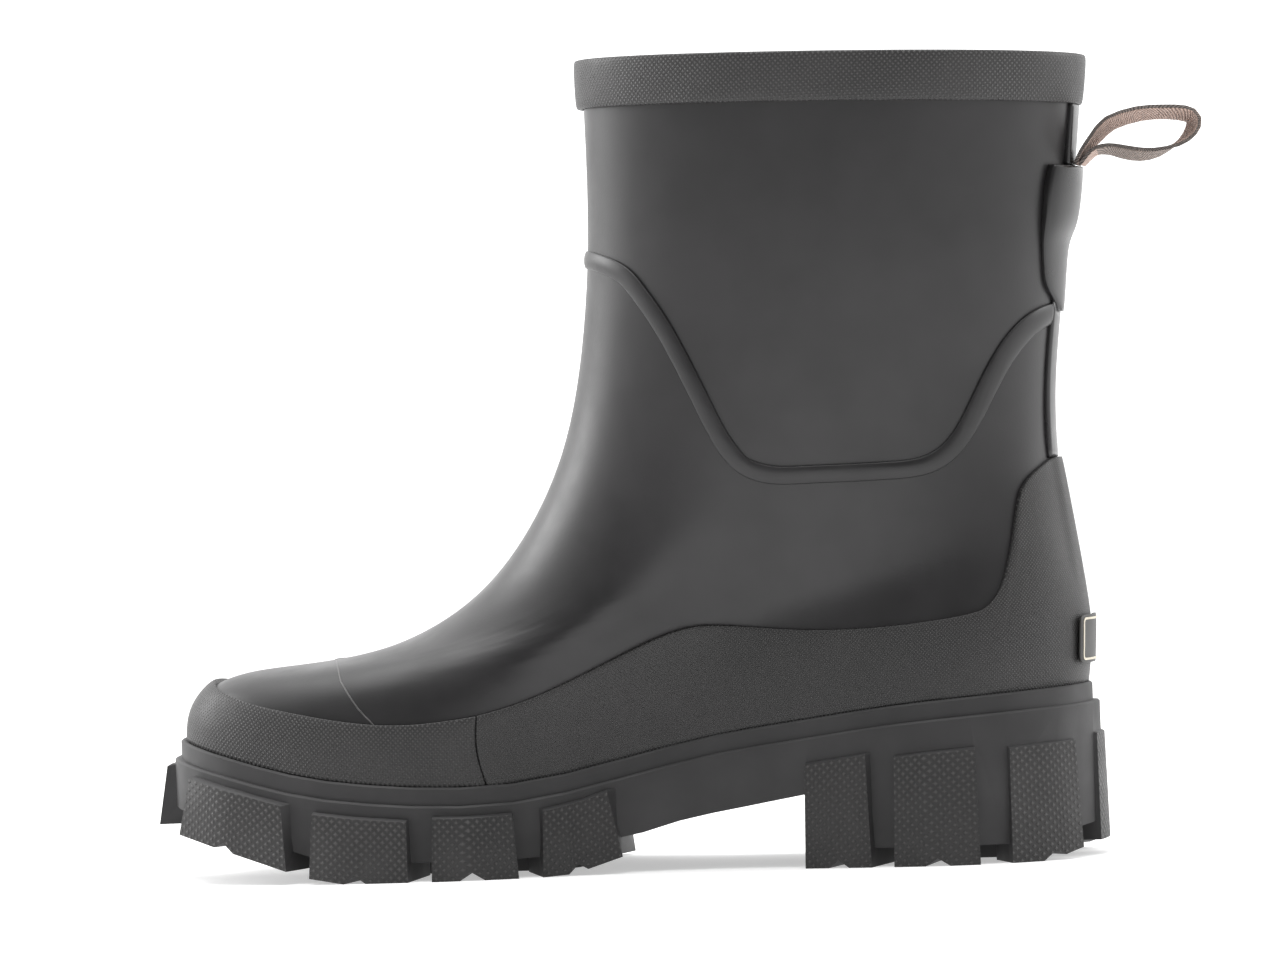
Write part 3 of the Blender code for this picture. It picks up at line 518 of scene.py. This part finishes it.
# %% Places along a rim
def along_rim(walk, point):
    """Length along a rim, height above it and reach outside it, of the place nearest to a point."""
    best = None
    for here, ahead, start, step in walk:
        run = ahead.xy - here.xy
        share = min(max((point.xy - here.xy).dot(run) / run.length_squared, 0), 1)
        nearest = here.lerp(ahead, share)
        away = point.xy - nearest.xy
        if best is None or away.length < best[0]:
            outside = away.length * (1 if run.cross(away) < 0 else -1)
            best = (away.length, start + share * step, point.z - nearest.z, outside)
    return best[1:]


def write_strip_map(piece, walk, total, pitch):
    """A UV map in metres: along the rim, in a whole number of pitches, and up from it."""
    scale = round(total / pitch) * pitch / total
    found = {v.index: along_rim(walk, v.co) for v in piece.data.vertices}
    layer = piece.data.uv_layers.new(name="strip")
    for face in piece.data.polygons:
        first = found[face.vertices[0]][0]
        for corner, vertex in zip(face.loop_indices, face.vertices):
            along, up, _ = found[vertex]
            along -= round((along - first) / total) * total
            layer.data[corner].uv = (along * scale, up)


# %% [markdown]
# Only the outer faces of the blocks are embossed. They stand further out than the sole's side wall,
# and a small step along their normal leads further out still, so both are tested. The moulded edges
# are then softened with a narrow bevel, which catches the light as real rubber edges do.

# %% Emboss the blocks
BEYOND_WALL = 3.3 * MM
PROBE = 0.5 * MM
FACES_OUT = 0.7 * PROBE
SOFT_EDGE = 0.5 * MM
SOFT_FROM = math.radians(40)
SMOOTH_UNDER = math.radians(35)

write_strip_map(sole, rim, rim_length, LUG_PITCH)
embossed = 0
for face in sole.data.polygons:
    outside = along_rim(rim, face.center)[2]
    probed = along_rim(rim, face.center + face.normal * PROBE)[2]
    if outside > BEYOND_WALL and probed - outside > FACES_OUT:
        face.material_index = 1
        embossed += 1
only(sole)
softened = sole.modifiers.new("softened", "BEVEL")
softened.width = SOFT_EDGE
softened.segments = 2
softened.angle_limit = SOFT_FROM
bpy.ops.object.modifier_apply(modifier=softened.name)
bpy.ops.object.shade_smooth_by_angle(angle=SMOOTH_UNDER)
print(embossed, "faces of the sole are embossed")


# %% [markdown]
# The upper is lined with knitted fabric, and a woven textile covers the foot bed. A cloth's threads
# could be modelled one by one, but from outside only their crossing ribs are seen, so two sets of
# waves that cross give both the tone and the height.

# %% Fabrics
KNIT_WAYS = ((1.0, 1.0, 1.0), (1.0, -1.0, 1.0))


def ribs(tree, place, way, pitch):
    """Waves that cross a direction, from -1 to 1."""
    along = node(tree, "ShaderNodeVectorMath", operation="DOT_PRODUCT")
    feed(tree, along, i0=place, i1=way)
    return maths(tree, "SINE", maths(tree, "MULTIPLY", along.outputs["Value"], 2 * math.pi / pitch))


def as_share(tree, wave):
    """A wave from -1 to 1, as a share from 0 to 1."""
    return maths(tree, "MULTIPLY", maths(tree, "ADD", wave, 1.0), 0.5)


def fabric(name, low, high, thread, depth):
    """A fine knit: two sets of crossing ribs."""
    made, tree, shader, place = new_finish(name)
    crossed = maths(tree, "MULTIPLY", *(ribs(tree, place, way, thread) for way in KNIT_WAYS))
    height = as_share(tree, crossed)
    coat(tree, shader, tone(tree, height, low, high), height, depth, Roughness=0.95,
         Sheen_Weight=0.2)
    return made


lining = fabric("knitted_lining", (0.03, 0.03, 0.032), (0.07, 0.07, 0.075),
                thread=1.1 * MM, depth=0.2 * MM)
footbed = fabric("foot_bed_textile", (0.04, 0.04, 0.045), (0.11, 0.11, 0.12),
                 thread=1.6 * MM, depth=0.3 * MM)
print("Fabrics:", lining.name, footbed.name)


# %% [markdown]
# The upper is one moulded wall: satin rubber outside and the lining inside. The lining's faces run on
# from one face inside the shaft up to the rim, whose edges are creased so that it stays square.

# %% The upper
INSIDE_SHAFT = Vector((-0.045, -0.046, 0.2))
LINING_SPREAD = 40
upper = clean_copy("upper", "upper_shell")
upper.data.materials.append(satin)
upper.data.materials.append(lining)
pick_surface(upper, INSIDE_SHAFT, Vector((0, 1, 0)), LINING_SPREAD)
second_finish(upper, 1)
done()
crease(upper, angle=60, amount=1)


# %% [markdown]
# Upper and rands are bonded down to the sole, and no light passes under them. Their lowest rim is let
# into the sole by less than a millimetre, which closes the hairline that the solids keep between them.

# %% Let the rims in
RIM_NEAR = 0.6 * MM
LET_IN = 0.7 * MM


def let_in(piece):
    """Lower the corners that lie just above the sole's rim."""
    moved = 0
    for vertex in piece.data.vertices:
        up = along_rim(rim, vertex.co)[1]
        if up < RIM_NEAR:
            vertex.co.z -= LET_IN
            moved += 1
    print(piece.name, "is let in at", moved, "corners")


let_in(upper)
rounded(upper, levels=2)


# %% [markdown]
# The strips bonded onto the upper are cemented all over, so no light shows behind them. The side that
# faces the upper is sunk into its wall by less than half of the wall, and the outer side stays put.

# %% Seat the strips
SINK = 0.8 * MM


def seat(piece):
    """Sink a bonded strip's hidden side into the upper."""
    hidden = {}
    for face in piece.data.polygons:
        outward = upper.closest_point_on_mesh(face.center)[2]
        if face.normal.dot(outward) < -FACING:
            hidden.update({vertex: outward.copy() for vertex in face.vertices})
    for vertex, outward in hidden.items():
        piece.data.vertices[vertex].co -= outward * SINK
    print(piece.name, "is seated at", len(hidden), "corners")


# %% [markdown]
# The two rands are one moulded strip each. Their joint on the side is a straight butt, so its edges are
# creased and the strips keep their full length up to it.

# %% The rands
for solid, name, finish, pitch in (("toe_rand", "toe_wrap", toe_finish, TOE_PITCH),
                                   ("heel_rand", "heel_wrap", heel_finish, HEEL_PITCH)):
    rand = clean_copy(solid, name)
    rand.data.materials.append(finish)
    write_strip_map(rand, rim, rim_length, pitch)
    crease(rand, angle=50, amount=0.9)
    let_in(rand)
    seat(rand)
    rounded(rand, levels=2)


# %% [markdown]
# The seam tape is a low, soft ribbon. Its rims are creased a little, so it lies flat between them. The
# strip up the back ends under its neighbours, so its two end rows are pushed on below them.

# %% Tape, strips and tab
PUSH = 1.1 * MM
LOW_ROW = 0.6 * MM
END_ROWS = {"back_strip": 3.5 * MM, "back_strip_top": 0.6 * MM}
BONDED = (("seam_tape", "ankle_tape", satin, 28, 0.55),
          ("back_strip", "back_seam_strip", strip_satin, 30, 0.95),
          ("back_strip_top", "back_seam_strip_top", strip_satin, 30, 0.95),
          ("loop_tab", "loop_patch", strip_satin, 55, 0.75))
for solid, name, finish, angle, amount in BONDED:
    bonded = clean_copy(solid, name)
    bonded.data.materials.append(finish)
    bottom, top = (corner[2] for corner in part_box(solid))
    for vertex in bonded.data.vertices:
        if solid in END_ROWS and vertex.co.z > top - END_ROWS[solid]:
            vertex.co.z += PUSH
        elif solid in END_ROWS and vertex.co.z < bottom + LOW_ROW:
            vertex.co.z -= PUSH
    crease(bonded, angle, amount)
    seat(bonded)
    rounded(bonded, levels=2)


# %% [markdown]
# The binding round the collar is a soft strip with the same diamonds, and its pattern runs round the
# oval of the shaft. The oval is taken from the strip's own box.

# %% The collar band
OVAL_PARTS = 96
low_corner, high_corner = (Vector(corner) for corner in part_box("collar_band"))
band_middle = (low_corner + high_corner) / 2
half = (high_corner - low_corner) / 2
turns = [2 * math.pi * i / OVAL_PARTS for i in range(OVAL_PARTS)]
oval = [band_middle + Vector((half.x * math.cos(turn), half.y * math.sin(turn), 0)) for turn in turns]
collar, collar_length = round_about(oval, band_middle)
band = clean_copy("collar_band", "collar_binding")
band.data.materials.append(band_finish)
write_strip_map(band, collar, collar_length, BAND_PITCH)
crease(band, angle=60, amount=0.6)
rounded(band, levels=2)


# %% [markdown]
# The foot bed is a thin pad with a textile face. Its rim is pressed soft.

# %% The foot bed
insole = clean_copy("insole", "foot_bed_pad")
insole.data.materials.append(footbed)
crease(insole, angle=60, amount=0.5)
rounded(insole, levels=1)


# %% [markdown]
# The pull loop is woven tape, paler on the face that was turned inwards, with dark bound edges and
# ribs that run slantwise across it. The same waves as on the fabrics make the ribs, and the soft
# patches, drawn very small, scatter paler and darker threads among them.

# %% Webbing
RIB_PITCH = 1.1 * MM
RIB_SLANT = (1.0, 0.7, 0.0)
THREADS = {"Scale": 900.0, "Low": -0.2, "High": 0.25}


def webbing(name, low, high):
    """Slanting ribs of thick thread, with a scatter of paler and darker threads."""
    made, tree, shader, place = new_finish(name)
    tape_map = node(tree, "ShaderNodeUVMap", uv_map="strip").outputs[0]
    rib = as_share(tree, ribs(tree, tape_map, RIB_SLANT, RIB_PITCH))
    factor = maths(tree, "ADD", rib, use(tree, patches, Place=place, **THREADS))
    coat(tree, shader, tone(tree, factor, low, high), factor, 0.18 * MM, Roughness=0.85,
         Sheen_Weight=0.15)
    return made


webbings = (webbing("webbing_face", (0.06, 0.047, 0.04), (0.29, 0.22, 0.185)),
            webbing("webbing_back", (0.17, 0.115, 0.095), (0.60, 0.44, 0.37)),
            webbing("webbing_edge", (0.05, 0.043, 0.04), (0.19, 0.16, 0.145)))
print("Webbings:", [finish.name for finish in webbings])


# %% [markdown]
# The loop's map runs along the tape, by the angle round the loop's eye, and across its width, so the
# ribs follow the tape round its bend. Faces near either side are its bound edges, and of the others
# those that look away from the eye are its outer face.

# %% The pull loop
OUTER_FACE, INNER_FACE, BOUND_EDGE = range(3)
SELVEDGE = 4.45 * MM
loop = clean_copy("pull_loop", "webbing_loop")
for finish in webbings:
    loop.data.materials.append(finish)
edit(loop, "EDGE")
bpy.ops.mesh.select_all(action="SELECT")
bpy.ops.mesh.subdivide(number_cuts=3)
done()
low_corner, high_corner = (Vector(corner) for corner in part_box("pull_loop"))
eye = (low_corner + high_corner) / 2
reach = (high_corner - low_corner) / 2
loop_map = loop.data.uv_layers.new(name="strip")
for face in loop.data.polygons:
    for corner, vertex in zip(face.loop_indices, face.vertices):
        spot = loop.data.vertices[vertex].co - eye
        turn = math.atan2(spot.z / reach.z, abs(spot.x) / reach.x)
        loop_map.data[corner].uv = (turn * reach.x, spot.y)
    if abs(face.center.y) > SELVEDGE:
        face.material_index = BOUND_EDGE
    else:
        outward = face.normal.dot(face.center - eye)
        face.material_index = OUTER_FACE if outward > 0 else INNER_FACE
crease(loop, angle=60, amount=0.8)
rounded(loop, levels=1)


# %% [markdown]
# A small dark plate sits on the counter, about as matt as the rubber round it. Its finish is the
# shared patches and the shared grain, both drawn finer than on the boot.

# %% The plate
PLATE_PATCHES = 120.0
PLATE_GRAIN = 2200.0


def plain_finish(name, low, high, roughness):
    """A moulded finish with soft patches and a light grain."""
    made, tree, shader, place = new_finish(name)
    color = tone(tree, use(tree, patches, Place=place, Scale=PLATE_PATCHES), low, high)
    fine = use(tree, grain, Place=place, Scale=PLATE_GRAIN)
    coat(tree, shader, color, fine, 0.03 * MM, Roughness=roughness)
    return made


plate = clean_copy("heel_badge", "heel_plate")
plate.data.materials.append(plain_finish("plate_dark", (0.02, 0.019, 0.018),
                                         (0.035, 0.034, 0.032), roughness=0.5))
crease(plate, angle=50, amount=0.9)
rounded(plate, levels=2)


# %% [markdown]
# The plate has a thin pale frame, raised a little and set in from its edge. An inset on the curved
# plate itself would crease it, so the frame is made flat, as a rounded rectangle with its middle
# deleted, and stands ready in front of the plate.

# %% The plate's frame
FRAME_FROM_EDGE = 0.9 * MM
FRAME_WIDTH = 0.65 * MM
FRAME_CORNER = 1.6 * MM
PLATE_WIDTH = 26 * MM
IN_FRONT = 4 * MM
low_corner, high_corner = (Vector(corner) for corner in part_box("heel_badge"))
frame_height = high_corner.z - low_corner.z - 2 * FRAME_FROM_EDGE
frame_place = (high_corner.x + IN_FRONT, 0, (low_corner.z + high_corner.z) / 2)
bpy.ops.mesh.primitive_plane_add(size=1)
border = bpy.context.object
border.name = "plate_frame"
edit(border)
bpy.ops.mesh.select_all(action="SELECT")
bpy.ops.transform.resize(value=(frame_height, PLATE_WIDTH - 2 * FRAME_FROM_EDGE, 1))
bpy.ops.transform.rotate(value=-math.pi / 2, orient_axis="Y", center_override=(0, 0, 0))
bpy.ops.transform.translate(value=frame_place)
bpy.ops.mesh.bevel(affect="VERTICES", offset=FRAME_CORNER, segments=4)
bpy.ops.mesh.select_mode(type="FACE")
bpy.ops.mesh.select_all(action="SELECT")
bpy.ops.mesh.inset(thickness=FRAME_WIDTH)
bpy.ops.mesh.delete(type="FACE")
bpy.ops.mesh.select_all(action="SELECT")
bpy.ops.mesh.subdivide(number_cuts=7)
done()
print("The flat frame has", len(border.data.polygons), "faces")


# %% [markdown]
# A Shrinkwrap then presses the flat frame onto the curved plate along X, and a Solidify gives it its
# thickness outwards.

# %% Press the frame on
FRAME_RAISED = 0.16 * MM
FRAME_CLEAR = 0.03 * MM
pressed = border.modifiers.new("pressed", "SHRINKWRAP")
pressed.target = plate
pressed.wrap_method = "PROJECT"
pressed.use_project_x = True
pressed.use_project_y = False
pressed.use_project_z = False
pressed.use_negative_direction = True
pressed.use_positive_direction = True
pressed.offset = FRAME_CLEAR
bpy.ops.object.modifier_apply(modifier=pressed.name)
thick = border.modifiers.new("thick", "SOLIDIFY")
thick.thickness = FRAME_RAISED
thick.offset = 1
bpy.ops.object.modifier_apply(modifier=thick.name)
border.data.materials.append(plain_finish("plate_frame_cream", (0.55, 0.50, 0.40),
                                          (0.66, 0.61, 0.50), roughness=0.55))
bpy.ops.object.shade_smooth_by_angle(angle=SMOOTH_UNDER)
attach(border, "root")
print("The frame reaches back to", round(max(v.co.x for v in border.data.vertices), 4), "m")


# %% [markdown]
# A thin raised seam crosses the vamp where the toe cap was laid over it. It is a round thread of
# rubber, half sunk in the surface, so a path is drawn just above the toe and each of its points is
# then dropped to the nearest place on the upper.

# %% Path of the toe-cap seam
SEAM = [(-0.1908, 0.000, 0.075), (-0.1898, 0.010, 0.074), (-0.1870, 0.018, 0.070),
        (-0.1837, 0.027, 0.064), (-0.1800, 0.038, 0.059), (-0.1738, 0.048, 0.052),
        (-0.1685, 0.052, 0.0465), (-0.1660, 0.053, 0.044)]
PARTS = 6
rows = [Vector((x, -y, z)) for x, y, z in SEAM[:0:-1]] + [Vector(row) for row in SEAM]
bpy.ops.curve.primitive_nurbs_path_add()
seam = bpy.context.object
seam.name = "toe_cap_seam"
seam.data.splines.clear()
run = seam.data.splines.new("POLY")
points = []
for here, ahead in zip(rows, rows[1:]):
    for part in range(PARTS):
        points.append(upper.closest_point_on_mesh(here.lerp(ahead, part / PARTS))[1])
run.points.add(len(points) - 1)
for point, spot in zip(run.points, points):
    point.co = (*spot, 1)
print("The seam has", len(points), "points")


# %% [markdown]
# The path gets its round thickness from the curve's own bevel and is then made a mesh, like every
# other piece. Its rubber is painted paler than the vamp's, as a painted highlight along the raised
# thread.

# %% Toe-cap seam
SEAM_THICK = 0.26 * MM
only(seam)
seam.data.bevel_depth = SEAM_THICK
seam.data.bevel_resolution = 3
seam.data.use_fill_caps = True
bpy.ops.object.convert(target="MESH")
bpy.ops.object.shade_smooth()
seam.data.materials.clear()
# The seam's pale tones are a painted highlight along the raised thread.
seam.data.materials.append(plain_finish("seam_rubber_painted_highlight", (0.05, 0.048, 0.048),
                                        (0.08, 0.077, 0.077), roughness=0.4))
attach(seam, "root")
print("The seam has", len(seam.data.polygons), "faces")
